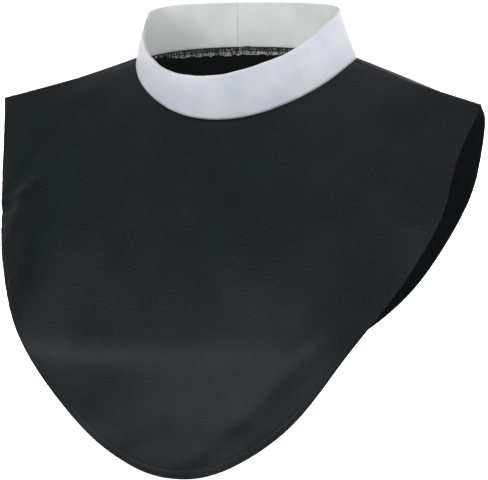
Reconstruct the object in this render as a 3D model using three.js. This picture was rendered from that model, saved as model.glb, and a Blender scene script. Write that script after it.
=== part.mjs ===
// A clerical rabat vest: a short black satin bib in front and a shorter black satin panel behind,
// joined along the shoulders and sewn to a stand-up white collar band. It is worn over the head and
// shoulders, so both panels keep the hollow, draped form that they have in wear, open at the neck,
// the armholes and the hem.
// Units are millimetres. +Z is up, +X is the wearer's left and the front faces -Y. The origin lies in
// the middle of the neck seam, level with the inner ends of the shoulder seams, where it rests.
import * as THREE from 'three';

// The two edges of the collar band, as egg-shaped loops seen from above. A loop has its half width,
// where that lies along Y, its reach to the front and to the back of it, and how much it narrows
// forwards. Its height dips towards the front, as a neck does: a row gives the height where the sine
// of the way round is that much, from -1 at the centre back to 1 at the centre front.
const NECK_SEAM = {
  halfWidth: 94.6,
  y: -3.1,
  front: 55.8,
  back: 29,
  narrowing: 0.16,
  heights: [
    { at: -1, z: 9.3 },
    { at: -0.5, z: 2.4 },
    { at: 0, z: -1.5 },
    { at: 0.5, z: -22 },
    { at: 1, z: -46.6 },
  ],
};
const TOP_EDGE = {
  halfWidth: 81.5,
  y: -10.4,
  front: 78.5,
  back: 36,
  narrowing: 0.17,
  heights: [
    { at: -1, z: 45.2 },
    { at: -0.5, z: 41.6 },
    { at: 0, z: 33.2 },
    { at: 0.5, z: 8.4 },
    { at: 1, z: -13.2 },
  ],
};

// The hem of the front panel, from the shoulder tip down to the middle of the bib.
const FRONT_HEM = [
  { x: 207, y: -23, z: -33 },
  { x: 196, y: -46, z: -72 },
  { x: 188, y: -64, z: -119 },
  { x: 170, y: -92, z: -160 },
  { x: 139, y: -121, z: -214 },
  { x: 90, y: -130, z: -277 },
  { x: 36, y: -132, z: -313 },
  { x: 0, y: -132, z: -321 },
];

// The hem of the back panel, from the same shoulder tip down to the middle of the back.
const BACK_HEM = [
  { x: 207, y: -23, z: -33 },
  { x: 199, y: 10, z: -58 },
  { x: 179, y: 33, z: -104 },
  { x: 151, y: 51, z: -145 },
  { x: 119, y: 64, z: -185 },
  { x: 82, y: 75, z: -219 },
  { x: 42, y: 86, z: -243 },
  { x: 0, y: 91, z: -249 },
];

// How each panel falls from the neck seam to its hem. A row stands at a share of the way from the
// shoulder seam to the middle of the panel. There the cloth leaves the neck and meets the hem along
// these headings, in degrees round from the side, and these drops, in degrees below level.
const FRONT_FALL = [
  { at: 0, leaveHeading: 11, leaveDrop: 19, meetHeading: 11, meetDrop: 13 },
  { at: 0.25, leaveHeading: 24, leaveDrop: 24, meetHeading: 34, meetDrop: 62 },
  { at: 0.5, leaveHeading: 44, leaveDrop: 36, meetHeading: 58, meetDrop: 76 },
  { at: 0.75, leaveHeading: 66, leaveDrop: 50, meetHeading: 80, meetDrop: 86 },
  { at: 1, leaveHeading: 90, leaveDrop: 60, meetHeading: 90, meetDrop: 90 },
];
const BACK_FALL = [
  { at: 0, leaveHeading: -11, leaveDrop: 19, meetHeading: -11, meetDrop: 13 },
  { at: 0.25, leaveHeading: 22, leaveDrop: 24, meetHeading: 34, meetDrop: 60 },
  { at: 0.5, leaveHeading: 48, leaveDrop: 30, meetHeading: 58, meetDrop: 76 },
  { at: 0.75, leaveHeading: 70, leaveDrop: 36, meetHeading: 78, meetDrop: 84 },
  { at: 1, leaveHeading: 90, leaveDrop: 40, meetHeading: 90, meetDrop: 88 },
];
const FALL_STIFFNESS = 0.4; // how far, in column lengths, the cloth keeps its heading at each end

// The broad soft folds, each a ridge (rise above 0) or a trough along a line seen from the front.
const FRONT_FOLDS = [
  { x0: -112, z0: -214, x1: 46, z1: -226, width: 24, rise: 2.6 },
  { x0: 60, z0: -252, x1: 118, z1: -232, width: 20, rise: -2.2 },
  { x0: -70, z0: -286, x1: -30, z1: -262, width: 18, rise: -1.4 },
  { x0: -176, z0: -118, x1: -120, z1: -96, width: 15, rise: -1.6 },
  { x0: 172, z0: -136, x1: 126, z1: -108, width: 15, rise: -1.6 },
];
const BACK_FOLDS = [
  { x0: -70, z0: -150, x1: 62, z1: -156, width: 26, rise: 2.0 },
  { x0: -40, z0: -226, x1: -22, z1: -176, width: 16, rise: -1.6 },
  { x0: 66, z0: -204, x1: 40, z1: -166, width: 16, rise: -1.4 },
];

// Cloth sizes.
const PANEL_WALL = 1.2;
const HEM_WALL = 2.2;
const HEM_WIDTH = 7;
const HEM_STEP = 0.8;
const COLLAR_WALL = 1;
const COLLAR_BOW = 0.7;
const ALLOWANCE_WALL = 1;
const ALLOWANCE_DROP = 7;
const ALLOWANCE_LEAN = 0.2;
const ALLOWANCE_GAP = 0.4;
const SEAM_GAP = 0.3;

// How finely each piece is divided: columns run round the neck, rows run from the neck outwards.
const FRONT_COLUMNS = 48;
const BACK_COLUMNS = 36;
const PANEL_ROWS = 14;
const LOOP_POINTS = 96;

const radians = THREE.MathUtils.degToRad;
const lerp = THREE.MathUtils.lerp;

// A closed curve along one edge of the collar band, from the centre back round the wearer's left.
function bandEdge(loop) {
  const points = [];
  for (let step = 0; step < LOOP_POINTS; step += 1) {
    const angle = (2 * Math.PI * step) / LOOP_POINTS - Math.PI / 2;
    const ahead = Math.sin(angle);
    const side = step % (LOOP_POINTS / 2) === 0 ? 0 : Math.cos(angle);
    points.push(new THREE.Vector3(
      loop.halfWidth * side * (1 - loop.narrowing * ahead),
      loop.y - ahead * (ahead > 0 ? loop.front : loop.back),
      tableValue(loop.heights, ahead, 'z'),
    ));
  }
  return new THREE.CatmullRomCurve3(points, true, 'centripetal');
}

const neckSeam = bandEdge(NECK_SEAM);
const topEdge = bandEdge(TOP_EDGE);

// The share of the neck seam that lies between the centre back and a shoulder seam.
const neckLengths = neckSeam.getLengths(LOOP_POINTS);
const shoulderShare = neckLengths[LOOP_POINTS / 4] / neckLengths[LOOP_POINTS];

// The full hem of a panel, from the wearer's left shoulder tip round to the right one.
function hemCurve(halfHem) {
  const left = halfHem.map((row) => new THREE.Vector3(row.x, row.y, row.z));
  const right = halfHem.slice(0, -1).reverse().map((row) => new THREE.Vector3(-row.x, row.y, row.z));
  return new THREE.CatmullRomCurve3([...left, ...right], false, 'centripetal');
}

// One value of a table at a share of the way, eased between its rows.
function tableValue(table, share, column) {
  let row = 0;
  while (row < table.length - 2 && share > table[row + 1].at) row += 1;
  const here = table[row];
  const next = table[row + 1];
  const span = next.at - here.at;
  const before = table[Math.max(row - 1, 0)];
  const after = table[Math.min(row + 2, table.length - 1)];
  const slopeHere = (next[column] - before[column]) / (next.at - before.at);
  const slopeNext = (after[column] - here[column]) / (after.at - here.at);
  const t = (share - here.at) / span;
  const rise = next[column] - here[column];
  return here[column] + t * span * slopeHere
    + t * t * (3 * rise - span * (2 * slopeHere + slopeNext))
    + t * t * t * (span * (slopeHere + slopeNext) - 2 * rise);
}

// A direction from a heading and a drop. The wearer's side is 1 for left and -1 for right, and
// forward is 1 for the front panel and -1 for the back panel.
function direction(heading, drop, side, forward) {
  const level = Math.cos(radians(drop));
  return new THREE.Vector3(
    side * level * Math.cos(radians(heading)),
    -forward * level * Math.sin(radians(heading)),
    -Math.sin(radians(drop)),
  );
}

// How far the folds lift the cloth at a point.
function foldRise(folds, point) {
  let rise = 0;
  for (const fold of folds) {
    const alongX = fold.x1 - fold.x0;
    const alongZ = fold.z1 - fold.z0;
    const length = Math.hypot(alongX, alongZ);
    const along = ((point.x - fold.x0) * alongX + (point.z - fold.z0) * alongZ) / length;
    const aside = ((point.x - fold.x0) * alongZ - (point.z - fold.z0) * alongX) / length;
    const past = Math.max(-along, along - length, 0);
    rise += fold.rise * Math.exp(-((aside / fold.width) ** 2) - (past / (1.5 * fold.width)) ** 2);
  }
  return rise;
}

// The outer face of a panel, as columns of points from the neck seam to the hem. The columns go
// from the wearer's left shoulder seam to the right one.
function panelFace({ columns, hem, fall, folds, forward, neckFrom, neckTo }) {
  const edge = hemCurve(hem);
  const face = [];
  for (let column = 0; column <= columns; column += 1) {
    const across = column / columns;
    const side = across <= 0.5 ? 1 : -1;
    const share = 1 - Math.abs(2 * across - 1);
    const start = neckSeam.getPointAt((lerp(neckFrom, neckTo, across) + 1) % 1);
    const end = edge.getPointAt(across);
    const leave = direction(
      tableValue(fall, share, 'leaveHeading'), tableValue(fall, share, 'leaveDrop'), side, forward);
    const meet = direction(
      tableValue(fall, share, 'meetHeading'), tableValue(fall, share, 'meetDrop'), side, forward);
    if (share === 1) {
      leave.x = 0;
      meet.x = 0;
      start.x = 0;
      end.x = 0;
    }
    start.addScaledVector(leave, SEAM_GAP / 2);
    const reach = FALL_STIFFNESS * start.distanceTo(end);
    const curve = new THREE.CubicBezierCurve3(
      start, start.clone().addScaledVector(leave, reach), end.clone().addScaledVector(meet, -reach), end);
    const length = curve.getLength();
    const stops = [];
    for (let row = 0; row <= PANEL_ROWS; row += 1) {
      stops.push((row / PANEL_ROWS) * (length - HEM_WIDTH - HEM_STEP));
    }
    stops.push(length - HEM_WIDTH, length);
    face.push(stops.map((stop) => curve.getPointAt(stop / length)));
  }
  const flat = faceNormals(face, -forward);
  return face.map((points, column) => points.map((point, row) => {
    const fromSeam = Math.min(column, columns - column) / 3;
    const rise = foldRise(folds, point) * Math.min(fromSeam, 1) * Math.min(row / 3, 1);
    return point.clone().addScaledVector(flat[column][row], rise);
  }));
}

// The outward normals of a face made of columns of points. turn is 1 or -1 to face them outwards.
function faceNormals(face, turn) {
  return face.map((points, column) => points.map((point, row) => {
    const before = face[Math.max(column - 1, 0)][row];
    const after = face[Math.min(column + 1, face.length - 1)][row];
    const up = points[Math.max(row - 1, 0)];
    const down = points[Math.min(row + 1, points.length - 1)];
    const across = new THREE.Vector3().subVectors(after, before);
    return new THREE.Vector3().subVectors(down, up).cross(across).multiplyScalar(turn).normalize();
  }));
}

// A closed wall of cloth between an outer and an inner grid of points.
function clothWall(outer, inner) {
  const columns = outer.length;
  const rows = outer[0].length;
  const positions = [];
  for (const grid of [outer, inner]) {
    for (const points of grid) for (const point of points) positions.push(point.x, point.y, point.z);
  }
  const outerAt = (column, row) => column * rows + row;
  const innerAt = (column, row) => columns * rows + column * rows + row;
  const triangles = [];
  const quad = (a, b, c, d) => triangles.push(a, b, c, a, c, d);
  for (let column = 0; column < columns - 1; column += 1) {
    for (let row = 0; row < rows - 1; row += 1) {
      const beside = column + 1;
      const below = row + 1;
      quad(outerAt(column, row), outerAt(column, below), outerAt(beside, below), outerAt(beside, row));
      quad(innerAt(column, row), innerAt(beside, row), innerAt(beside, below), innerAt(column, below));
    }
    const last = rows - 1;
    quad(outerAt(column, 0), outerAt(column + 1, 0), innerAt(column + 1, 0), innerAt(column, 0));
    quad(outerAt(column, last), innerAt(column, last), innerAt(column + 1, last), outerAt(column + 1, last));
  }
  for (let row = 0; row < rows - 1; row += 1) {
    const last = columns - 1;
    quad(outerAt(0, row), innerAt(0, row), innerAt(0, row + 1), outerAt(0, row + 1));
    quad(outerAt(last, row), outerAt(last, row + 1), innerAt(last, row + 1), innerAt(last, row));
  }
  const geometry = new THREE.BufferGeometry();
  geometry.setAttribute('position', new THREE.Float32BufferAttribute(positions, 3));
  geometry.setIndex(signedVolume(positions, triangles) < 0 ? triangles.slice().reverse() : triangles);
  geometry.computeVertexNormals();
  return geometry;
}

// Six times the volume inside a closed mesh, below zero where its faces point inwards.
function signedVolume(positions, triangles) {
  const corner = (index) => new THREE.Vector3().fromArray(positions, 3 * index);
  let volume = 0;
  for (let start = 0; start < triangles.length; start += 3) {
    const [a, b, c] = [corner(triangles[start]), corner(triangles[start + 1]), corner(triangles[start + 2])];
    volume += a.dot(b.cross(c));
  }
  return volume;
}

function piece(name, geometry, look) {
  const mesh = new THREE.Mesh(geometry, new THREE.MeshStandardMaterial(look));
  mesh.name = name;
  return mesh;
}

// The outer faces of the two satin panels.
const front = {
  forward: 1,
  face: panelFace({
    columns: FRONT_COLUMNS,
    hem: FRONT_HEM,
    fall: FRONT_FALL,
    folds: FRONT_FOLDS,
    forward: 1,
    neckFrom: shoulderShare,
    neckTo: 1 - shoulderShare,
  }),
};
const back = {
  forward: -1,
  face: panelFace({
    columns: BACK_COLUMNS,
    hem: BACK_HEM,
    fall: BACK_FALL,
    folds: BACK_FOLDS,
    forward: -1,
    neckFrom: shoulderShare,
    neckTo: -shoulderShare,
  }),
};

// The panels share one normal along each shoulder seam, so that their edges stay parallel there.
front.normals = faceNormals(front.face, -front.forward);
back.normals = faceNormals(back.face, -back.forward);
for (const [frontColumn, backColumn] of [[0, 0], [FRONT_COLUMNS, BACK_COLUMNS]]) {
  front.normals[frontColumn].forEach((normal, row) => {
    normal.add(back.normals[backColumn][row]).normalize();
    back.normals[backColumn][row].copy(normal);
  });
}

// Each panel's outer and inner grids. The inner one has the thicker turned hem along its last rows,
// and both stand back from the shoulder seams by half of the gap.
for (const panel of [front, back]) {
  const standBack = SEAM_GAP / 2 / Math.cos(radians(FRONT_FALL[0].leaveHeading));
  const last = panel.face.length - 1;
  const grid = (depthAt) => panel.face.map((points, column) => points.map((point, row) => {
    const moved = point.clone().addScaledVector(panel.normals[column][row], -depthAt(row));
    if (column === 0 || column === last) moved.y -= panel.forward * standBack;
    return moved;
  }));
  const hemStart = panel.face[0].length - 2;
  panel.outer = grid(() => 0);
  panel.inner = grid((row) => (row >= hemStart ? HEM_WALL : PANEL_WALL));
}

// The stations round the neck, from the centre back round the wearer's left and back again: the
// share of the seam and the inner neck corner of the panel that ends there.
const halfBack = BACK_COLUMNS / 2;
const stations = [];
for (let column = halfBack; column > 0; column -= 1) {
  stations.push({ share: lerp(shoulderShare, 0, column / halfBack), corner: back.inner[column][0] });
}
for (let column = 0; column <= FRONT_COLUMNS; column += 1) {
  const share = lerp(shoulderShare, 1 - shoulderShare, column / FRONT_COLUMNS);
  stations.push({ share, corner: front.inner[column][0] });
}
for (let column = BACK_COLUMNS - 1; column >= halfBack; column -= 1) {
  const share = 1 - lerp(shoulderShare, 0, (BACK_COLUMNS - column) / halfBack);
  stations.push({ share, corner: back.inner[column][0] });
}

// Opens a band at the centre back, where its two ends meet.
function partAtCentreBack(grid) {
  for (const point of grid[0]) point.x = SEAM_GAP / 2;
  for (const point of grid[grid.length - 1]) point.x = -SEAM_GAP / 2;
  return grid;
}

// The outer face of the collar band: bottom, a slightly bowed middle, and top.
const bandFace = stations.map(({ share }) => {
  const bottom = neckSeam.getPointAt(share % 1);
  const top = topEdge.getPointAt(share % 1);
  const lift = new THREE.Vector3().subVectors(top, bottom).normalize();
  bottom.addScaledVector(lift, SEAM_GAP);
  return [bottom, bottom.clone().lerp(top, 0.5), top];
});
const bandNormals = faceNormals(bandFace, 1);
const bandGrid = (depth) => partAtCentreBack(bandFace.map((points, column) => points.map((point, row) => {
  const bow = row === 1 ? COLLAR_BOW : 0;
  return point.clone().addScaledVector(bandNormals[column][row], bow - depth);
})));
const liningDepth = COLLAR_WALL + SEAM_GAP;
const liningInner = bandGrid(liningDepth + COLLAR_WALL);

// The overlocked seam allowance, which hangs inside the neck just below the lining.
const allowance = { outer: [], inner: [] };
stations.forEach(({ share, corner }, index) => {
  const along = neckSeam.getTangentAt(share % 1);
  const outward = new THREE.Vector3(0, 0, 1).cross(along).setZ(0).normalize();
  const top = corner.clone().addScaledVector(outward, -ALLOWANCE_GAP);
  top.z = Math.min(neckSeam.getPointAt(share % 1).z, liningInner[index][0].z) - SEAM_GAP;
  const fall = new THREE.Vector3(0, 0, -1).addScaledVector(outward, ALLOWANCE_LEAN).normalize();
  const bottom = top.clone().addScaledVector(fall, ALLOWANCE_DROP);
  allowance.outer.push([top, bottom]);
  allowance.inner.push([top, bottom].map((point) => point.clone().addScaledVector(outward, -ALLOWANCE_WALL)));
});

const SATIN = { color: 0x232628, roughness: 0.42, metalness: 0 };
const COLLAR_WHITE = { color: 0xe6e9ee, roughness: 0.5, metalness: 0 };
const LINING_WHITE = { color: 0xd9dbd9, roughness: 0.7, metalness: 0 };
const ALLOWANCE_GREY = { color: 0xb9bab6, roughness: 0.9, metalness: 0 };

const vest = new THREE.Group();
vest.add(piece('front_panel', clothWall(front.outer, front.inner), SATIN));
vest.add(piece('back_panel', clothWall(back.outer, back.inner), SATIN));
vest.add(piece('collar_outer', clothWall(bandGrid(0), bandGrid(COLLAR_WALL)), COLLAR_WHITE));
vest.add(piece('collar_lining', clothWall(bandGrid(liningDepth), liningInner), LINING_WHITE));
vest.add(piece('neck_seam_allowance', clothWall(
  partAtCentreBack(allowance.outer), partAtCentreBack(allowance.inner)), ALLOWANCE_GREY));

export default vest;
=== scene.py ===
import math

import bpy
import numpy as np
from mathutils import Matrix, Vector


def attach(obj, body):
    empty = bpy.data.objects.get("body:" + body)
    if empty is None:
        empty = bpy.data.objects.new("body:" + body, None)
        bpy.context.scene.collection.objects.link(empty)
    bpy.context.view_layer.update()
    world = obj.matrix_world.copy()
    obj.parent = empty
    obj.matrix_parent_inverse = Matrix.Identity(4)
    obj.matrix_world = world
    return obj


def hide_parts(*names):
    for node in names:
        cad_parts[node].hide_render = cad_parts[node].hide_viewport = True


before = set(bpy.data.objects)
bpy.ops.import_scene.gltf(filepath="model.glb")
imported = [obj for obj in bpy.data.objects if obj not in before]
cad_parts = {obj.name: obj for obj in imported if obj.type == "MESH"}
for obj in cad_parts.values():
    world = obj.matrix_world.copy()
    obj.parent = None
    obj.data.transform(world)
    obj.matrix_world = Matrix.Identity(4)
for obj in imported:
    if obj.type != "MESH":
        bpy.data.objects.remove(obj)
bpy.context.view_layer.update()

# Front panel: the bib, one piece of black polyester satin cut with its grain running down, with a
# 7 mm hem turned to the inside and stitched. It hangs from the neck and shoulder seams, falls over
# the chest and ends in a rounded point. All sizes in the tables are in millimetres.
MM = 0.001
# A seam loop round the neck: half the width at the shoulders, their y, the reach ahead and behind, how
# much it narrows ahead, and heights by how far ahead a point is, from -1 behind to 1 in front.
NECK_SEAM = {
    "half_width": 94.6, "y": -3.1, "front": 55.8, "back": 29, "narrowing": 0.16,
    "heights": [(-1, 9.3), (-0.5, 2.4), (0, -1.5), (0.5, -22), (1, -46.6)],
}
# Points of the hem from the shoulder tip to the middle.
FRONT_HEM = [
    (207, -23, -33), (196, -46, -72), (188.5, -63.5, -119), (172.4, -91, -161.5),
    (139.5, -121, -214.5), (90, -130, -277), (36, -132, -311.5), (0, -132, -318.4),
]
# Share of the way from the shoulder seam to the middle, then heading and drop in degrees where the
# cloth leaves the neck, and heading and drop where it meets the hem.
FRONT_FALL = [
    (0, 11, 17, 11, 14.5), (0.25, 24, 24, 34, 62), (0.5, 44, 36, 58, 76),
    (0.75, 66, 50, 80, 86), (1, 90, 60, 90, 90),
]
# Folds as lines seen from the front: x and z of both ends, half width, and rise (a trough below 0).
FRONT_BROAD_FOLDS = [
    (-165, -214, -50, -224, 38, 3.2), (-150, -230, -66, -229, 24, 1.6),
    (-146, -262, -84, -276, 17, -2.3), (-60, -225, 105, -214, 21, 1.3),
    (120, -200, 58, -268, 13, 2.0), (-176, -118, -120, -96, 15, -0.5),
    (172, -136, 126, -108, 15, -0.9),
]
FRONT_CREASES = [
    (-190, -117, -163, -107, 3.4, 0.85), (-163, -107, -128, -84, 4.5, 0.45),
    (-191, -124, -172, -118, 2.6, -0.5), (-192, -90, -180, -88, 1.6, 0.35),
    (-191, -101, -174, -96, 3.0, -0.3), (-189, -130, -179, -128, 1.6, 0.35),
    (-187, -138, -177, -138, 1.8, 0.3), (-60, -66, -80, -140, 16, 0.4),
    (150, -46, 178, -68, 8, 0.9), (150, -72, 172, -88, 8, -0.4),
    (191, -92, 180, -96, 2.2, 0.6), (189, -104, 176, -108, 2.2, -0.5),
    (186, -118, 172, -124, 2.6, 0.65), (180, -134, 168, -139, 2.4, -0.5),
    (-40, -302, -12, -286, 8, -0.5), (-8, -312, 20, -298, 7, 0.45),
    (30, -304, 52, -284, 8, -0.5), (58, -292, 74, -276, 6, 0.4),
]
FALL_STIFFNESS = 0.4
MIDDLE_EASE = 0.08
BROAD_FOLD_END = 1.5
PANEL_WALL = 0.7
# The turned hem: its doubled cloth, the curl of its edge, and the dip and puckers that stitching pulls.
HEM_WALL = 1.15
HEM_WIDTH = 7
HEM_TURN_SLOPE = 0.25
HEM_FINE_FROM = 2
HEM_CURL = 1.0
HEM_CURL_LENGTH = 9
HEM_STITCH_DIP = 0.2
DIP_WIDTH = 0.9
DIP_LEAST = 0.35
DIP_CHANGE_LENGTH = 31
DIP_CHANGE_START = 0.8
PUCKER_RISE = 0.32
PUCKER_LENGTH = 11
PUCKER_WIDTH = 7
PUCKER_DRIFT = 1.7
PUCKER_DRIFT_LENGTH = 37
PUCKER_CHANGE = 0.4
PUCKER_CHANGE_LENGTH = 23
# Folds fade out over this share of the width by the shoulder seams and these rows by the neck seam,
# and the hem's over a few columns.
FOLD_FADE_SHARE = 1 / 16
FOLD_FADE_ROWS = 18
HEM_FADE_COLUMNS = 3
LOOP_STEP = 3.75
CURVE_STEPS = 32
FALL_STEPS = 200
NECK_STEPS = 2000
FRONT_COLUMNS = 240
PANEL_ROWS = 84
HEM_ROWS = 12
EDGE_STEPS = 8
EDGE_SPLIT = EDGE_STEPS // 2


def table_value(rows, share, column):
    """One column of a table at a share of the way, eased between its rows."""
    at = np.array([row[0] for row in rows], float)
    value = np.array([row[column] for row in rows], float)
    here = np.clip(np.searchsorted(at, share, side="left") - 1, 0, len(at) - 2)
    before, after = np.maximum(here - 1, 0), np.minimum(here + 2, len(at) - 1)
    span = at[here + 1] - at[here]
    slope_here = (value[here + 1] - value[before]) / (at[here + 1] - at[before])
    slope_next = (value[after] - value[here]) / (at[after] - at[here])
    rise = value[here + 1] - value[here]
    t = (share - at[here]) / span
    bend = 3 * rise - span * (2 * slope_here + slope_next)
    settle = span * (slope_here + slope_next) - 2 * rise
    return value[here] + t * span * slope_here + t**2 * bend + t**3 * settle


def smooth_curve(points, shares, closed=False):
    """Points at even-length shares along a centripetal curve through the given points."""
    points = np.asarray(points, float)
    if closed:
        padded = np.vstack([points[-1:], points, points[:2]])
    else:
        padded = np.vstack([2 * points[:1] - points[1:2], points, 2 * points[-1:] - points[-2:-1]])
    fine = []
    steps = np.linspace(0, 1, CURVE_STEPS + 1)[:-1, None]
    for a, b, c, d in zip(padded, padded[1:], padded[2:], padded[3:]):
        first, middle, last = (
            max(np.linalg.norm(q - p) ** 0.5, 1e-6) for p, q in ((a, b), (b, c), (c, d)))
        leave = ((b - a) / first - (c - a) / (first + middle) + (c - b) / middle) * middle
        meet = ((c - b) / middle - (d - b) / (middle + last) + (d - c) / last) * middle
        rise = c - b
        bend, settle = 3 * rise - 2 * leave - meet, leave + meet - 2 * rise
        fine.append(b + steps * leave + steps**2 * bend + steps**3 * settle)
    fine = np.vstack(fine + [padded[-2:-1]])
    way = np.r_[0, np.cumsum(np.linalg.norm(np.diff(fine, axis=0), axis=1))]
    at = np.asarray(shares) * way[-1]
    return np.stack([np.interp(at, way, fine[:, axis]) for axis in range(3)], -1)


def loop_points(loop):
    """The points that a collar edge goes through, from the centre back round the wearer's left."""
    heading = np.radians(np.arange(0, 360, LOOP_STEP) - 90)
    ahead, side = np.sin(heading), np.cos(heading)
    reach = np.where(ahead > 0, loop["front"], loop["back"])
    return np.stack([
        loop["half_width"] * side * (1 - loop["narrowing"] * ahead),
        loop["y"] - ahead * reach,
        table_value(loop["heights"], ahead, 1),
    ], -1)


def fold_rise(folds, points):
    """How far a table of folds lifts the cloth at each point."""
    rise = np.zeros(points.shape[:-1])
    for x0, z0, x1, z1, width, height in folds:
        length = math.hypot(x1 - x0, z1 - z0)
        across, down = points[..., 0] - x0, points[..., 2] - z0
        along = (across * (x1 - x0) + down * (z1 - z0)) / length
        aside = (across * (z1 - z0) - down * (x1 - x0)) / length
        past = np.maximum(np.maximum(-along, along - length), 0)
        rise += height * np.exp(-((aside / width) ** 2) - (past / (BROAD_FOLD_END * width)) ** 2)
    return rise


def face_normals(face, turn):
    """Outward normals of a grid of points; turn is 1 or -1 to face them outwards."""
    normals = np.cross(np.gradient(face, axis=1), np.gradient(face, axis=0)) * turn
    return normals / np.linalg.norm(normals, axis=-1, keepdims=True)


def direction(heading, drop, side, forward):
    """The way the cloth runs at a heading round the body and a drop below level, both in degrees."""
    heading, drop = np.radians(heading), np.radians(drop)
    level = np.cos(drop)
    return np.stack(
        [side * level * np.cos(heading), -forward * level * np.sin(heading), -np.sin(drop)], -1)


def panel_face(hem, fall, forward, neck_from, neck_to, columns):
    """The smooth outer face of a panel as columns from the neck to the hem, from the wearer's left
    shoulder seam to the right one, with each point's distance from the hem."""
    across = np.linspace(0, 1, columns + 1)
    side = np.where(across <= 0.5, 1.0, -1.0)
    from_middle = np.abs(2 * across - 1)
    share = np.clip(1 + MIDDLE_EASE * (1 - from_middle) - np.hypot(from_middle, MIDDLE_EASE), 0, 1)
    along_neck = (neck_from + (neck_to - neck_from) * across) % 1
    start = smooth_curve(loop_points(NECK_SEAM), along_neck, closed=True)
    mirrored = [(-x, y, z) for x, y, z in hem[-2::-1]]
    end = smooth_curve(list(hem) + mirrored, across)
    leave = direction(table_value(fall, share, 1), table_value(fall, share, 2), side, forward)
    meet = direction(table_value(fall, share, 3), table_value(fall, share, 4), side, forward)
    reach = FALL_STIFFNESS * np.linalg.norm(end - start, axis=1)[:, None]
    t = np.linspace(0, 1, FALL_STEPS + 1)[None, :, None]
    first, second = (start + leave * reach)[:, None], (end - meet * reach)[:, None]
    fine = (start[:, None] * (1 - t) ** 3 + first * 3 * t * (1 - t) ** 2
            + second * 3 * t**2 * (1 - t) + end[:, None] * t**3)
    way = np.cumsum(np.linalg.norm(np.diff(fine, axis=1, prepend=fine[:, :1]), axis=2), axis=1)
    face, from_hem = [], []
    for column in range(columns + 1):
        length = way[column, -1]
        turn_up = length - HEM_WIDTH - HEM_FINE_FROM
        stops = np.r_[
            np.linspace(0, turn_up, PANEL_ROWS + 1)[:-1], np.linspace(turn_up, length, HEM_ROWS + 1)]
        face.append(np.stack(
            [np.interp(stops, way[column], fine[column, :, axis]) for axis in range(3)], -1))
        from_hem.append(length - stops)
    return np.array(face), np.array(from_hem)


def dress_panel(face, from_hem, forward, broad, creases):
    """The outer and inner faces of a panel with its folds, creases and stitched hem."""
    columns = len(face) - 1
    column = np.arange(columns + 1)[:, None] / columns
    from_seam = np.minimum(column, 1 - column) * columns
    row = np.arange(face.shape[1])
    fade = np.clip(from_seam / (columns * FOLD_FADE_SHARE), 0, 1) * np.clip(row / FOLD_FADE_ROWS, 0, 1)
    face = face + face_normals(face, -forward) * (fold_rise(broad, face) * fade)[..., None]
    normals = face_normals(face, -forward)
    hem_way = np.r_[0, np.cumsum(np.linalg.norm(np.diff(face[:, -1], axis=0), axis=1))][:, None]
    drift = PUCKER_DRIFT * np.sin(hem_way / PUCKER_DRIFT_LENGTH)
    wave = np.sin(2 * math.pi * hem_way / PUCKER_LENGTH + drift)
    wave *= 1 - PUCKER_CHANGE + PUCKER_CHANGE * np.sin(hem_way / PUCKER_CHANGE_LENGTH)
    pucker = PUCKER_RISE * wave * np.exp(-((from_hem - HEM_WIDTH) / PUCKER_WIDTH) ** 2)
    pull = DIP_LEAST + (1 - DIP_LEAST) * np.sin(hem_way / DIP_CHANGE_LENGTH + DIP_CHANGE_START) ** 2
    stitched = -HEM_STITCH_DIP * pull * np.exp(-((from_hem - HEM_WIDTH) / DIP_WIDTH) ** 2)
    curl = -HEM_CURL * np.exp(-from_hem / HEM_CURL_LENGTH)
    at_hem = (pucker + stitched + curl) * np.clip(from_seam / HEM_FADE_COLUMNS, 0, 1)
    outer = face + normals * (fold_rise(creases, face) * fade + at_hem)[..., None]
    doubled = 1 / (1 + np.exp(np.clip((from_hem - HEM_WIDTH) / HEM_TURN_SLOPE, -40, 40)))
    wall = PANEL_WALL + (HEM_WALL - PANEL_WALL) * doubled
    return outer, outer - normals * wall[..., None]


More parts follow.
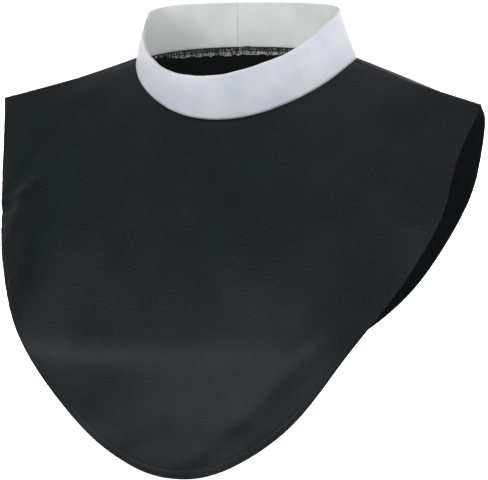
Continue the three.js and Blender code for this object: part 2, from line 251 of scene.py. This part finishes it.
def cloth_object(name, outer, inner, flat_map, material, wrong_side=None):
    """A closed shell between two grids of points in millimetres, with its flat cut in metres as UV.
    Where the wrong side looks different, that material starts at the turned edge."""
    middle, half = (outer[:, -1] + inner[:, -1]) / 2, (outer[:, -1] - inner[:, -1]) / 2
    out = outer[:, -1] - outer[:, -2]
    out *= np.linalg.norm(half, axis=1, keepdims=True) / np.linalg.norm(out, axis=1, keepdims=True)
    arc = [middle + half * math.cos(turn) + out * (math.sin(turn) - 1)
           for turn in np.linspace(0, math.pi, EDGE_STEPS)]
    outer = np.concatenate([outer[:, :-1], np.stack(arc[:EDGE_SPLIT], 1)], 1)
    inner = np.concatenate([inner[:, :-1], np.stack(arc[:EDGE_SPLIT - 1:-1], 1)], 1)
    flat_map = np.concatenate([flat_map, np.repeat(flat_map[:, -1:], EDGE_SPLIT - 1, 1)], 1)
    columns, rows = outer.shape[:2]
    around = 2 * rows
    ring = np.concatenate([outer, inner[:, ::-1]], 1)
    flat = np.concatenate([flat_map, flat_map[:, ::-1]], 1)
    column, step = np.meshgrid(np.arange(columns - 1), np.arange(around), indexing="ij")
    here, after = column * around + step, column * around + (step + 1) % around
    faces = np.stack([here, after, after + around, here + around], -1).reshape(-1, 4).tolist()
    for first, turn in ((0, -1), ((columns - 1) * around, 1)):
        for row in range(rows - 1):
            cap = [first + row, first + row + 1, first + around - 2 - row, first + around - 1 - row]
            faces.append(cap[::turn])
    corners = ring.reshape(-1, 3)[np.array(faces)]
    volume = (corners[:, 0] * np.cross(corners[:, 1], corners[:, 2])
              + corners[:, 0] * np.cross(corners[:, 2], corners[:, 3])).sum()
    if volume < 0:
        faces = [face[::-1] for face in faces]
    mesh = bpy.data.meshes.new(name)
    mesh.from_pydata((ring.reshape(-1, 3) * MM).tolist(), [], faces)
    corner = np.empty(len(mesh.loops), np.int32)
    mesh.loops.foreach_get("vertex_index", corner)
    layer = mesh.uv_layers.new(name="flat_cut")
    layer.data.foreach_set("uv", flat.reshape(-1, 2)[corner].astype(np.float32).ravel())
    mesh.polygons.foreach_set("use_smooth", np.ones(len(mesh.polygons), bool))
    mesh.materials.append(material)
    if wrong_side:
        mesh.materials.append(wrong_side)
        inside = np.zeros(len(faces), np.int32)
        inside[:(columns - 1) * around] = (step >= rows - EDGE_SPLIT).ravel()
        mesh.polygons.foreach_set("material_index", inside)
    mesh.update()
    piece = bpy.data.objects.new(name, mesh)
    bpy.context.collection.objects.link(piece)
    return piece


def panel_flat_map(face):
    """Where each point lies on the flat cut, in metres: across the cloth, and down its grain."""
    neck_step = np.diff(face[:, 0, 1:], axis=0)
    neck = np.r_[0, np.cumsum(np.hypot(*neck_step.T) * np.sign(-neck_step[:, 1]))]
    down_step = np.diff(face[..., 1:], axis=1, prepend=face[:, :1, 1:])
    down = np.cumsum(np.hypot(down_step[..., 0], down_step[..., 1]), axis=1)
    return np.stack([face[..., 0], -(neck[:, None] + down)], -1) * MM


def linear(hex_colour):
    """A #rrggbb sRGB colour as linear red, green, blue and alpha."""
    parts = [int(hex_colour[at:at + 2], 16) / 255 for at in (1, 3, 5)]
    return (
        *((part / 12.92) if part <= 0.04045 else ((part + 0.055) / 1.055) ** 2.4 for part in parts), 1)


def add_node(tree, kind, links=None, **settings):
    """Adds a node, sets its settings, and sets or links its inputs."""
    made = tree.nodes.new(kind)
    for setting, value in settings.items():
        setattr(made, setting, value)
    for socket, value in (links or {}).items():
        if isinstance(value, bpy.types.NodeSocket):
            tree.links.new(value, made.inputs[socket])
        else:
            made.inputs[socket].default_value = value
    return made


# How far the noises of tone and of gloss reach either way, and the height of a thread in millimetres.
TONE_LOW, TONE_HIGH = 0.32, 0.68
GLOSS_LOW, GLOSS_HIGH = 0.25, 0.75
SMOOTHER, ROUGHER = 0.1, 0.12
THREAD_HEIGHT = 0.2


def woven_cloth(name, dark, light, roughness, streak_mm, bump, ior=1.5, cloud_mm=45, clouded=0.25):
    """A woven cloth: threads as fine grains of tone, gloss and height on the flat cut, and under
    them soft clouds of tone where the cloth has been handled."""
    material = bpy.data.materials.new(name)
    material.use_nodes = True
    tree = material.node_tree
    shader = tree.nodes["Principled BSDF"]
    flat = add_node(tree, "ShaderNodeUVMap", uv_map="flat_cut").outputs["UV"]
    scale = (1 / (streak_mm[0] * MM), 1 / (streak_mm[1] * MM), 1)
    grain = add_node(tree, "ShaderNodeMapping", {"Vector": flat, "Scale": scale}).outputs["Vector"]
    thread = add_node(tree, "ShaderNodeTexNoise", {
        "Vector": grain, "Scale": 1.0, "Detail": 3.0, "Roughness": 0.6}).outputs["Fac"]
    cloud = add_node(tree, "ShaderNodeTexNoise", {
        "Vector": flat, "Scale": 1 / (cloud_mm * MM), "Detail": 2.0}).outputs["Fac"]
    mixed = add_node(tree, "ShaderNodeMix", {0: clouded, 2: thread, 3: cloud}).outputs[0]
    tone = add_node(tree, "ShaderNodeMapRange", {
        "Value": mixed, "From Min": TONE_LOW, "From Max": TONE_HIGH}).outputs[0]
    colour = add_node(tree, "ShaderNodeMix", {
        0: tone, 6: linear(dark), 7: linear(light)}, data_type="RGBA").outputs[2]
    gloss = add_node(tree, "ShaderNodeMapRange", {
        "Value": thread, "From Min": GLOSS_LOW, "From Max": GLOSS_HIGH,
        "To Min": roughness - SMOOTHER, "To Max": roughness + ROUGHER}).outputs[0]
    raised = add_node(tree, "ShaderNodeBump", {
        "Height": thread, "Strength": bump, "Distance": THREAD_HEIGHT * MM}).outputs[0]
    for socket, value in (("Base Color", colour), ("Roughness", gloss), ("Normal", raised)):
        tree.links.new(value, shader.inputs[socket])
    shader.inputs["IOR"].default_value = ior
    return material


# Black polyester satin: near-black with a broad soft sheen, finely grained by its warp floats. The
# floats are 0.3 mm wide and are drawn nearly four times as coarse, so that they show.
black_satin = woven_cloth(
    "black_satin", "#050809", "#20292b", 0.36, streak_mm=(1.1, 1.6), bump=1.0, ior=1.25)
# The wrong side of the satin shows its weft: flat black with no sheen, and threads drawn as coarse.
satin_wrong_side = woven_cloth(
    "black_satin_wrong_side", "#121516", "#1f2425", 0.7, streak_mm=(0.8, 1.3), bump=0.5, ior=1.2)
# The share of the neck seam from the centre back to a shoulder seam, about a quarter of the way round.
half_neck = smooth_curve(loop_points(NECK_SEAM), np.linspace(0, 0.5, NECK_STEPS // 2 + 1), closed=True)
shoulder = loop_points(NECK_SEAM)[round(90 / LOOP_STEP)]
shoulder_share = float(np.argmin(np.linalg.norm(half_neck - shoulder, axis=1)) / NECK_STEPS)
front_face, front_from_hem = panel_face(
    FRONT_HEM, FRONT_FALL, 1, shoulder_share, 1 - shoulder_share, FRONT_COLUMNS)
front_outer, front_inner = dress_panel(
    front_face, front_from_hem, 1, FRONT_BROAD_FOLDS, FRONT_CREASES)
front = cloth_object(
    "bib_front", front_outer, front_inner, panel_flat_map(front_face), black_satin, satin_wrong_side)
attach(front, "root")
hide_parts("front_panel")

# Back panel: the shorter back piece, of the same satin with the same stitched hem. It is sewn to the
# front along the shoulders and to the collar behind, and falls over the shoulder blades.
BACK_HEM = [
    (207, -23, -33), (204.5, -4, -42), (198, 12.5, -61), (181, 34, -106), (153.5, 52.5, -147.5),
    (121, 65, -187.5), (82.5, 75.5, -220), (42, 86, -243), (0, 91, -249),
]
BACK_FALL = [
    (0, -11, 17, -11, 14.5), (0.25, 22, 24, 34, 60), (0.5, 48, 30, 58, 76),
    (0.75, 70, 36, 78, 84), (1, 90, 40, 90, 88),
]
BACK_BROAD_FOLDS = [
    (-70, -150, 62, -156, 26, 2.0), (-40, -226, -22, -176, 16, -1.6), (66, -204, 40, -166, 16, -1.4),
]
BACK_CREASES = [
    (-188, -88, -160, -96, 3.6, 0.8), (-176, -112, -146, -112, 4.2, -0.8),
    (187, -92, 158, -90, 3.8, 0.8), (171, -120, 140, -126, 4.4, -0.7),
    (-96, -196, -70, -168, 8, 0.7), (30, -232, 48, -196, 7, 0.6),
]
BACK_COLUMNS = 200
back_face, back_from_hem = panel_face(
    BACK_HEM, BACK_FALL, -1, shoulder_share, -shoulder_share, BACK_COLUMNS)
back_outer, back_inner = dress_panel(back_face, back_from_hem, -1, BACK_BROAD_FOLDS, BACK_CREASES)
back = cloth_object(
    "cape_back", back_outer, back_inner, panel_flat_map(back_face), black_satin, satin_wrong_side)
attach(back, "root")
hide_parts("back_panel")

# Collar band: one curved strip of white polyester satin, stiffened, its lower edge sewn into the
# neck seam and its upper edge turned over a lining. The ends meet in a seam at the centre back.
TOP_EDGE = {
    "half_width": 81.5, "y": -10.4, "front": 78.5, "back": 36, "narrowing": 0.17,
    "heights": [(-1, 45.2), (-0.5, 41.6), (0, 33.2), (0.5, 8.4), (1, -13.2)],
}
COLLAR_COLUMNS = 360
COLLAR_ROWS = 16
COLLAR_WALL = 0.95
COLLAR_BOW = 0.7
END_GAP = 0.1
# Soft upright bends of the stiffened band: share of the way round, half width in shares, and rise at
# the top edge. The neck seam holds them to a part of that.
COLLAR_BENDS = [
    (0.275, 0.008, 0.8), (0.30, 0.007, -0.7), (0.345, 0.012, 0.9), (0.385, 0.010, -0.7),
    (0.455, 0.014, 0.6), (0.52, 0.010, -0.4), (0.62, 0.014, -0.6), (0.71, 0.010, 0.6),
    (0.12, 0.016, 0.3), (0.86, 0.016, -0.3), (0.93, 0.014, 0.5), (0.05, 0.012, -0.5),
]
BEND_AT_SEAM = 0.35
COLLAR_FLAT = (0.476, 0.039)
shares = np.linspace(0, 1, COLLAR_COLUMNS + 1)
height = np.linspace(0, 1, COLLAR_ROWS + 1)
collar_map = np.stack(np.broadcast_arrays(
    shares[:, None] * COLLAR_FLAT[0], height[None, :] * COLLAR_FLAT[1]), -1)


def band_at(depth, start=0.0):
    """The band's face moved in by a depth in millimetres, from a share of the way round where its two
    ends stand just apart."""
    around = (shares + start) % 1
    low = smooth_curve(loop_points(NECK_SEAM), around, closed=True)
    high = smooth_curve(loop_points(TOP_EDGE), around, closed=True)
    low[[0, -1]], high[[0, -1]] = low[0], high[0]
    face = low[:, None] * (1 - height[None, :, None]) + high[:, None] * height[None, :, None]
    normals = face_normals(face, 1)
    normals[[0, -1]] = (normals[1] + normals[-2]) / 2
    bends = sum(rise * np.exp(-(((around - at) / width) ** 2)) for at, width, rise in COLLAR_BENDS)
    bow = COLLAR_BOW * 4 * height * (1 - height)
    lift = bow + bends[:, None] * (BEND_AT_SEAM + (1 - BEND_AT_SEAM) * height)
    lift[[0, -1]] = (lift[1] + lift[-2]) / 2
    face = face + normals * (lift - depth)[..., None]
    apart = face[1, 0] - face[-2, 0]
    apart *= END_GAP / 2 / np.linalg.norm(apart)
    face[0] += apart
    face[-1] -= apart
    return face


# White polyester satin: clean and faintly blue, with soft lighter patches on its low sheen. Its floats
# are drawn nearly three times as coarse.
white_satin = woven_cloth(
    "white_satin", "#e4e9fa", "#f8fbff", 0.42, streak_mm=(0.8, 3.0), bump=0.05, cloud_mm=28, clouded=0.75)
collar = cloth_object("collar_band", band_at(0), band_at(COLLAR_WALL), collar_map, white_satin)
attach(collar, "root")
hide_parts("collar_outer")

# Collar lining: the matt inner layer of the band, white poplin, which shows inside the neck. It is
# bagged out with the band along the top and ends in the same neck seam. Its ends are lapped a little
# to the wearer's right of the centre back, where it is thicker.
LINING_DEPTH = 1.25
LINING_START = -0.035
LAP_RISE = 0.55
LAP_BEHIND = 0.5
LAP_WIDTH = 0.016
# White poplin: matt and even, a shade greyer than the satin. Its threads are drawn twice as coarse.
white_poplin = woven_cloth(
    "white_poplin", "#dcdfdd", "#f1f3f2", 0.75, streak_mm=(0.5, 0.5), bump=0.08, cloud_mm=40, clouded=0.8)
lap = (LAP_RISE * np.exp(-((shares / LAP_WIDTH) ** 2)))[:, None, None]
lining_outer = band_at(LINING_DEPTH, LINING_START)
lining_inner = band_at(LINING_DEPTH + COLLAR_WALL, LINING_START)
toward_neck = (lining_inner - lining_outer) / COLLAR_WALL
lining = cloth_object(
    "collar_lining_cloth", lining_outer + toward_neck * lap * LAP_BEHIND, lining_inner + toward_neck * lap,
    collar_map, white_poplin)
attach(lining, "root")
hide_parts("collar_lining")

# Neck seam allowance: the raw edges of panels, band and lining, trimmed to 6 mm and held together by
# a black overlock. It hangs inside the neck below the seam, frayed behind and shorter towards the
# shoulders, with a thicker lump where the ends meet.
ALLOWANCE_IN = 1.15
ALLOWANCE_WALL = 0.5
ALLOWANCE_DOWN = 0.35
LADDER_HEIGHT = 2.6
RAW_EDGE = 3.4
RAW_EDGE_AT_SHOULDER = 0.4
RAW_EDGE_TO = 78
RAW_EDGE_FADE = 12
LEAN_OUT = 0.2
# The frayed ends: how far they vary, how much of that is each end's own and how much it shares with
# its neighbours.
FRAY = 0.8
FRAY_OWN = 0.6
FRAY_SHARED = 0.7
FRAY_NEIGHBOURS = 5
FRAY_SEED = 7
LUMP_RISE = 0.9
LUMP_IN = 0.5
LUMP_WIDTH = 7
LUMP_X = -9
STRIP_ROWS = 8
ALLOWANCE_FLAT = (0.476, 0.01)
bottom = smooth_curve(loop_points(NECK_SEAM), shares, closed=True)
outward = np.cross((0, 0, 1), np.gradient(bottom, axis=0))
outward /= np.linalg.norm(outward, axis=1, keepdims=True)
lining_corner = band_at(LINING_DEPTH + COLLAR_WALL)[:, 0]
frayed = np.clip((RAW_EDGE_TO - np.abs(bottom[:, 0])) / RAW_EDGE_FADE, 0, 1)
lump = LUMP_RISE * np.exp(-(((bottom[:, 0] - LUMP_X) / LUMP_WIDTH) ** 2)) * (bottom[:, 1] > 0)
seam_top = bottom - outward * (ALLOWANCE_IN + LUMP_IN * lump[:, None])
seam_top[:, 2] = np.minimum(bottom[:, 2], lining_corner[:, 2]) - ALLOWANCE_DOWN + lump
fray = np.random.default_rng(FRAY_SEED).normal(0, FRAY, COLLAR_COLUMNS + 1)
shared_fray = np.convolve(fray, np.ones(FRAY_NEIGHBOURS) / FRAY_NEIGHBOURS, "same")
fray = FRAY_OWN * fray + FRAY_SHARED * shared_fray
raw = RAW_EDGE_AT_SHOULDER + (RAW_EDGE - RAW_EDGE_AT_SHOULDER) * frayed
drop = LADDER_HEIGHT + raw + fray * frayed + lump
down = np.linspace(0, 1, STRIP_ROWS + 1)
lean = LEAN_OUT * outward + np.array([0, 0, -1.0])
strip_outer = seam_top[:, None] + lean[:, None] * (drop[:, None] * down)[..., None]
strip_inner = strip_outer - outward[:, None] * ALLOWANCE_WALL
strip_map = np.stack(np.broadcast_arrays(
    shares[:, None] * ALLOWANCE_FLAT[0], -down[None, :] * ALLOWANCE_FLAT[1]), -1)
# Raw white cloth: tufts of frayed thread 3 mm wide, white where they stand up, with painted grey shade in
# between.
raw_cloth_tuft_light_and_shade = woven_cloth("raw_white_cloth_painted_tuft_shade", "#4a4c4c", "#fbfcfa", 0.85, streak_mm=(3.2, 1.0), bump=0.3)
strip = cloth_object("neck_allowance", strip_outer, strip_inner, strip_map, raw_cloth_tuft_light_and_shade)
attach(strip, "root")
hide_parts("neck_seam_allowance")

# Overlock threads: black spun polyester, two rails along the seam allowance with rungs between them,
# and thinner strands that hang loose over the frayed cloth. They bind the raw edges of the neck seam.
RUNG_PITCH = 2.3
RUNG_RADIUS = 0.36
RAIL_RADIUS = 0.34
STRAND_PITCH = 0.8
STRAND_RADIUS = 0.2
STRAND_LENGTH = (LADDER_HEIGHT + RAW_EDGE) * 0.9
THREADS_OUT = 0.15
THREADS_DOWN = 0.3
THREAD_SIDES = 6
PLY = 0.4
PLY_HEIGHT = 0.1
PLY_BUMP = 0.4
RAISED_PLY_LIGHTER = 1.8


def sewing_line(name, points):
    """A thread's path as a curve object through points in millimetres."""
    curve = bpy.data.curves.new(name, "CURVE")
    curve.dimensions = "3D"
    spline = curve.splines.new("POLY")
    spline.points.add(len(points) - 1)
    spline.points.foreach_set("co", np.c_[points * MM, np.ones(len(points))].astype(np.float32).ravel())
    made = bpy.data.objects.new(name, curve)
    bpy.context.collection.objects.link(made)
    return made


def sewn_along(name, tree, path, **sizes):
    """The threads that a geometry tree lays along a path, as one object with a plain mesh."""
    modifier = path.modifiers.new("sew", "NODES")
    modifier.node_group = tree
    for item in tree.interface.items_tree:
        if item.in_out == "INPUT" and item.name in sizes:
            modifier[item.identifier] = sizes[item.name]
    evaluated = path.evaluated_get(bpy.context.evaluated_depsgraph_get())
    mesh = bpy.data.meshes.new_from_object(evaluated)
    mesh.name = name
    bpy.data.objects.remove(path)
    made = bpy.data.objects.new(name, mesh)
    bpy.context.collection.objects.link(made)
    return made


def thread_material(name, colour):
    """Spun polyester thread: matt, with the twist of its plies as a fine bump."""
    material = bpy.data.materials.new(name)
    material.use_nodes = True
    tree = material.node_tree
    shader = tree.nodes["Principled BSDF"]
    place = add_node(tree, "ShaderNodeTexCoord").outputs["Object"]
    plies = add_node(tree, "ShaderNodeTexNoise", {
        "Vector": place, "Scale": 1 / (PLY * MM), "Detail": 2.0})
    # The plies are tinted lighter where the same noise raises them in the bump.
    raised_ply_tint = tuple(min(1, RAISED_PLY_LIGHTER * part) for part in linear(colour))
    tint = add_node(tree, "ShaderNodeMix", {
        0: plies.outputs["Fac"], 6: linear(colour), 7: raised_ply_tint}, data_type="RGBA")
    tree.links.new(tint.outputs[2], shader.inputs["Base Color"])
    raised = add_node(tree, "ShaderNodeBump", {
        "Height": plies.outputs["Fac"], "Strength": PLY_BUMP, "Distance": PLY_HEIGHT * MM})
    tree.links.new(raised.outputs[0], shader.inputs["Normal"])
    shader.inputs["Roughness"].default_value = 0.7
    return material


def thread_tree(name, sizes):
    """A geometry tree with a geometry input and one named input for each size."""
    tree = bpy.data.node_groups.new(name, "GeometryNodeTree")
    tree.interface.new_socket("Geometry", in_out="INPUT", socket_type="NodeSocketGeometry")
    for size in sizes:
        tree.interface.new_socket(size, in_out="INPUT", socket_type="NodeSocketFloat")
    tree.interface.new_socket("Geometry", in_out="OUTPUT", socket_type="NodeSocketGeometry")
    return tree, tree.nodes.new("NodeGroupInput").outputs


black_thread = thread_material("black_overlock_thread", "#0d0e10")
overlock, sizes = thread_tree("overlock", [
    "Pitch", "Height", "Rung radius", "Rail radius", "Strand pitch", "Strand radius", "Strand length"])


def hanging_thread(pitch, radius, length, aslant, wander, seed):
    """Threads that hang at even steps along the path, each turned a little at random."""
    steps = add_node(overlock, "GeometryNodeResampleCurve", {
        "Curve": sizes["Geometry"], "Length": pitch}, mode="LENGTH")
    fall_end = add_node(overlock, "ShaderNodeCombineXYZ", {
        "X": add_node(
            overlock, "ShaderNodeMath", {0: length, 1: aslant}, operation="MULTIPLY").outputs[0],
        "Z": add_node(
            overlock, "ShaderNodeMath", {0: length, 1: -1.0}, operation="MULTIPLY").outputs[0]})
    line = add_node(overlock, "GeometryNodeCurvePrimitiveLine", {"End": fall_end.outputs[0]})
    fine = add_node(overlock, "GeometryNodeResampleCurve", {"Curve": line.outputs[0], "Count": 3})
    section = add_node(overlock, "GeometryNodeCurvePrimitiveCircle", {
        "Resolution": THREAD_SIDES, "Radius": radius})
    tube = add_node(overlock, "GeometryNodeCurveToMesh", {
        "Curve": fine.outputs[0], "Profile Curve": section.outputs[0], "Fill Caps": True})
    turn = add_node(overlock, "FunctionNodeAlignRotationToVector", {
        "Vector": add_node(overlock, "GeometryNodeInputTangent").outputs[0]}, axis="X", pivot_axis="Z")
    swing = add_node(overlock, "FunctionNodeRandomValue", {
        "Min": (0.0, -wander, 0.0), "Max": (0.0, wander, 0.0), "Seed": seed}, data_type="FLOAT_VECTOR")
    swung = add_node(overlock, "FunctionNodeRotateRotation", {
        "Rotation": turn.outputs[0],
        "Rotate By": add_node(
            overlock, "FunctionNodeEulerToRotation", {0: swing.outputs[0]}).outputs[0]},
        rotation_space="LOCAL")
    placed = add_node(overlock, "GeometryNodeInstanceOnPoints", {
        "Points": steps.outputs[0], "Instance": tube.outputs[0], "Rotation": swung.outputs[0]})
    return placed.outputs[0]


def rail_at(depth):
    """A continuous thread along the path, lowered by a share of the ladder's height."""
    fall = add_node(overlock, "ShaderNodeMath", {0: sizes["Height"], 1: -depth}, operation="MULTIPLY")
    lower = add_node(overlock, "ShaderNodeCombineXYZ", {"Z": fall.outputs[0]})
    moved = add_node(overlock, "GeometryNodeTransform", {
        "Geometry": sizes["Geometry"], "Translation": lower.outputs[0]})
    section = add_node(overlock, "GeometryNodeCurvePrimitiveCircle", {
        "Resolution": THREAD_SIDES, "Radius": sizes["Rail radius"]})
    return add_node(overlock, "GeometryNodeCurveToMesh", {
        "Curve": moved.outputs[0], "Profile Curve": section.outputs[0], "Fill Caps": True}).outputs[0]


joined = add_node(overlock, "GeometryNodeJoinGeometry")
rungs = hanging_thread(
    sizes["Pitch"], sizes["Rung radius"], sizes["Height"], aslant=0.08, wander=0.08, seed=3)
strands = hanging_thread(
    sizes["Strand pitch"], sizes["Strand radius"], sizes["Strand length"], aslant=0.4, wander=0.9, seed=11)
for part in (rail_at(0.0), rail_at(1.0), rungs, strands):
    overlock.links.new(part, joined.inputs[0])
realized = add_node(overlock, "GeometryNodeRealizeInstances", {"Geometry": joined.outputs[0]})
finished = add_node(overlock, "GeometryNodeSetMaterial", {
    "Geometry": realized.outputs[0], "Material": black_thread})
overlock.links.new(finished.outputs[0], overlock.nodes.new("NodeGroupOutput").inputs[0])
thread_path = seam_top - outward * (ALLOWANCE_WALL + THREADS_OUT)
thread_path[:, 2] -= THREADS_DOWN
threads = sewn_along("overlock_threads", overlock, sewing_line("overlock_path", thread_path), **{
    "Pitch": RUNG_PITCH * MM, "Height": LADDER_HEIGHT * MM, "Rung radius": RUNG_RADIUS * MM,
    "Rail radius": RAIL_RADIUS * MM, "Strand pitch": STRAND_PITCH * MM,
    "Strand radius": STRAND_RADIUS * MM, "Strand length": STRAND_LENGTH * MM})
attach(threads, "root")

# Hem stitching: one row of black lockstitch, 2.7 mm to the stitch, 7 mm in from the edge of both
# panels. It holds the turned hem, and lies sunk in the trough that its tension pulls in the satin.
STITCH_LENGTH = 2.1
STITCH_PITCH = 2.7
STITCH_RADIUS = 0.17
STITCH_SUNK = 0.08
stitching, stitch_sizes = thread_tree("hem_stitches", ["Pitch", "Length", "Radius"])
stitch_steps = add_node(stitching, "GeometryNodeResampleCurve", {
    "Curve": stitch_sizes["Geometry"], "Length": stitch_sizes["Pitch"]}, mode="LENGTH")
stitch_half = add_node(stitching, "ShaderNodeMath", {
    0: stitch_sizes["Length"], 1: 0.5}, operation="MULTIPLY")
stitch_ball = add_node(stitching, "GeometryNodeMeshUVSphere", {"Segments": 8, "Rings": 6, "Radius": 1.0})
stitch_size = add_node(stitching, "ShaderNodeCombineXYZ", {
    "X": stitch_half.outputs[0], "Y": stitch_sizes["Radius"], "Z": stitch_sizes["Radius"]})
stitch_turn = add_node(stitching, "FunctionNodeAlignRotationToVector", {
    "Vector": add_node(stitching, "GeometryNodeInputTangent").outputs[0]}, axis="X")
stitch_row = add_node(stitching, "GeometryNodeInstanceOnPoints", {
    "Points": stitch_steps.outputs[0], "Instance": stitch_ball.outputs[0],
    "Rotation": stitch_turn.outputs[0], "Scale": stitch_size.outputs[0]})
stitch_real = add_node(stitching, "GeometryNodeRealizeInstances", {"Geometry": stitch_row.outputs[0]})
stitch_done = add_node(stitching, "GeometryNodeSetMaterial", {
    "Geometry": stitch_real.outputs[0], "Material": black_thread})
stitching.links.new(stitch_done.outputs[0], stitching.nodes.new("NodeGroupOutput").inputs[0])


def stitch_row_points(outer, from_hem):
    """The line on a panel's face where the hem is stitched."""
    return np.array([
        [np.interp(-HEM_WIDTH, -from_hem[column], outer[column, :, axis]) for axis in range(3)]
        for column in range(len(outer))])


for name, outer, inner, from_hem in (
        ("bib_hem_stitches", front_outer, front_inner, front_from_hem),
        ("cape_hem_stitches", back_outer, back_inner, back_from_hem)):
    sunk = (inner - outer) * STITCH_SUNK / HEM_WALL
    row = sewing_line(name + "_path", stitch_row_points(outer + sunk, from_hem))
    stitches = sewn_along(name, stitching, row, **{
        "Pitch": STITCH_PITCH * MM, "Length": STITCH_LENGTH * MM, "Radius": STITCH_RADIUS * MM})
    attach(stitches, "root")

# Studio: a pale floor that rises behind into a backdrop, soft lights, and the camera at the
# photograph's angle, 24 degrees round to the wearer's left and 5 degrees up.
AZIMUTH, ELEVATION = 24, 5
CAMERA_DISTANCE = 2.0
SENSOR = 36.0
PIXELS_PER_RADIAN = 2500
FRAME_WIDTH = 488
AIM_RIGHT, AIM_UP = -0.0004, -0.145
a, e = math.radians(AZIMUTH), math.radians(ELEVATION)
toward = np.array([math.sin(a) * math.cos(e), -math.cos(a) * math.cos(e), math.sin(e)])
right = np.array([math.cos(a), math.sin(a), 0.0])
up = np.cross(toward, right)
camera = bpy.data.objects.new("camera", bpy.data.cameras.new("camera"))
bpy.context.collection.objects.link(camera)
camera.data.sensor_width = SENSOR
camera.data.lens = SENSOR * PIXELS_PER_RADIAN / FRAME_WIDTH
camera_turn = Matrix(np.stack([right, up, toward], 1).tolist()).to_4x4()
camera_place = CAMERA_DISTANCE * toward + AIM_RIGHT * right + AIM_UP * up
camera.matrix_world = Matrix.Translation(camera_place) @ camera_turn
bpy.context.scene.camera = camera

FLOOR_Z = -0.40
FLOOR_FRONT = -16.0
FLOOR_SIDE = 14.0
SWEEP_Y, SWEEP_RADIUS = 3.2, 1.0
SWEEP_POINTS = 12
BACKDROP_HEIGHT = 5.0
floor_mesh = bpy.data.meshes.new("floor")
profile = [(FLOOR_FRONT, 0.0)]
profile += [
    (SWEEP_Y + SWEEP_RADIUS * math.sin(rising), SWEEP_RADIUS * (1 - math.cos(rising)))
    for rising in np.linspace(0, math.pi / 2, SWEEP_POINTS)]
profile += [(SWEEP_Y + SWEEP_RADIUS, BACKDROP_HEIGHT)]
vertices = [(x, y, FLOOR_Z + z) for y, z in profile for x in (-FLOOR_SIDE, FLOOR_SIDE)]
strips = [(2 * k, 2 * k + 1, 2 * k + 3, 2 * k + 2) for k in range(len(profile) - 1)]
floor_mesh.from_pydata(vertices, [], strips)
floor_mesh.polygons.foreach_set("use_smooth", np.ones(len(floor_mesh.polygons), bool))
floor = bpy.data.objects.new("floor", floor_mesh)
bpy.context.collection.objects.link(floor)
# White backdrop paper: matt, just off white, so that it lights the satin from below.
paper = bpy.data.materials.new("white_paper")
paper.use_nodes = True
paper.node_tree.nodes["Principled BSDF"].inputs["Base Color"].default_value = linear("#ececec")
paper.node_tree.nodes["Principled BSDF"].inputs["Roughness"].default_value = 0.9
floor_mesh.materials.append(paper)


def soft_light(name, place, aim, size, power, spread):
    """A rectangular softbox at a place in metres, turned to its aim."""
    lamp = bpy.data.lights.new(name, "AREA")
    lamp.shape = "RECTANGLE"
    lamp.size, lamp.size_y = size
    lamp.energy = power
    lamp.spread = math.radians(spread)
    light = bpy.data.objects.new(name, lamp)
    bpy.context.collection.objects.link(light)
    light.location = place
    light.rotation_euler = (Vector(place) - Vector(aim)).to_track_quat("Z", "Y").to_euler()


# Name, place and aim, width and height in metres, power in watts, and spread in degrees. The backdrop
# light hangs low behind the vest and faces down, so that it whitens the paper and misses the cloth.
for lamp_values in (
        ("backdrop_light", (-0.9, 2.2, 0.35), (-0.9, 2.2, -0.4), (6.0, 3.4), 190, 110),
        ("right_softbox", (2.6, -0.7, 0.5), (0, 0, 0), (1.4, 1.2), 1.8, 90),
        ("low_softbox", (-1.3, -2.3, -0.12), (0, 0, -0.12), (2.7, 0.36), 4.8, 75)):
    soft_light(*lamp_values)
# The room is dimmer on the wearer's right, so that flank of the satin stays dark. Its light grows
# between two headings, given as X of the unit sphere.
ROOM_DIM, ROOM_FULL = 0.1, 0.76
DIM_TO, FULL_FROM = -0.9, -0.3
world = bpy.data.worlds.new("studio")
world.use_nodes = True
sky = world.node_tree
heading = add_node(sky, "ShaderNodeSeparateXYZ", {
    0: add_node(sky, "ShaderNodeTexCoord").outputs["Generated"]})
strength = add_node(sky, "ShaderNodeMapRange", {
    "Value": heading.outputs["X"], "From Min": DIM_TO, "From Max": FULL_FROM,
    "To Min": ROOM_DIM, "To Max": ROOM_FULL})
sky.links.new(strength.outputs[0], sky.nodes["Background"].inputs["Strength"])
sky.nodes["Background"].inputs["Color"].default_value = (1, 1, 1, 1)
bpy.context.scene.world = world
bpy.context.scene.view_settings.view_transform = "Standard"
